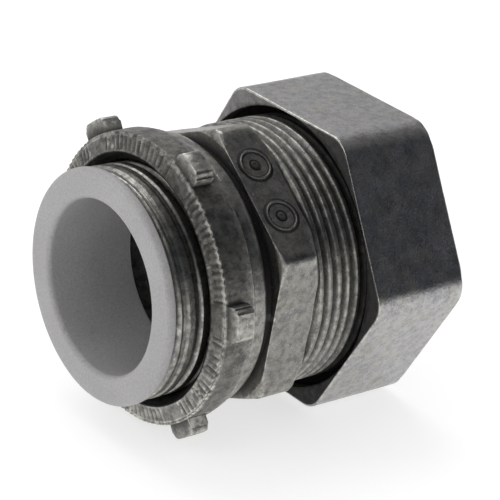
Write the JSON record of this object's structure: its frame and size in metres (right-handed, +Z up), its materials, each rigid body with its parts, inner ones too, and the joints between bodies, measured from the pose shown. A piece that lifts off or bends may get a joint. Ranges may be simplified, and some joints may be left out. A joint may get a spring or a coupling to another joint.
{
  "type": "conduit compression fitting",
  "caption": "Die-cast compression connector for thin-wall conduit, with a threaded nose, lugged locknut, plastic throat liner, hexagonal gland nut and split gland ring.",
  "frame": {"origin": "on the passage axis, in the plane of the shoulder face that seats against the box wall", "axes": "+X along the passage towards the conduit, -X into the box, +Z up, normal to one flat of the compression nut"},
  "size_m": [0.0459, 0.0466, 0.0426],
  "materials": {
    "zinc_casting": "satin zinc die casting with fine tumbling marks and worn edges",
    "liner_plastic": "smooth off-white moulded plastic",
    "zinc_locknut": "zinc die casting, ribbed front face, bright worn edges",
    "zinc_nut": "satin zinc die casting with light scratches on the flats",
    "ring_steel": "zinc-plated steel"
  },
  "bodies": {
    "casting": {"fitting_body": "zinc_casting", "insulated_throat": "liner_plastic"},
    "locknut": {"locknut": "zinc_locknut"},
    "ring": {"gland_ring": "ring_steel"},
    "nut": {"compression_nut": "zinc_nut"}
  },
  "joints": [
    {"name": "locknut_turn", "type": "hinge", "parent": "casting", "child": "locknut", "pos_m": [-0.004, 0, 0], "axis": [1, 0, 0], "continuous": true},
    {"name": "gland_ring_travel", "type": "slide", "parent": "casting", "child": "ring", "axis": [1, 0, 0], "range_m": [-0.0016, 0.004]},
    {"name": "compression_nut_turn", "type": "hinge", "parent": "ring", "child": "nut", "pos_m": [0.025, 0, 0], "axis": [1, 0, 0], "range_deg": [-360, 900]}
  ],
  "couplings": [
    {"joint": "gland_ring_travel", "follows": "compression_nut_turn", "m_per_rad": 0.00025266}
  ]
}
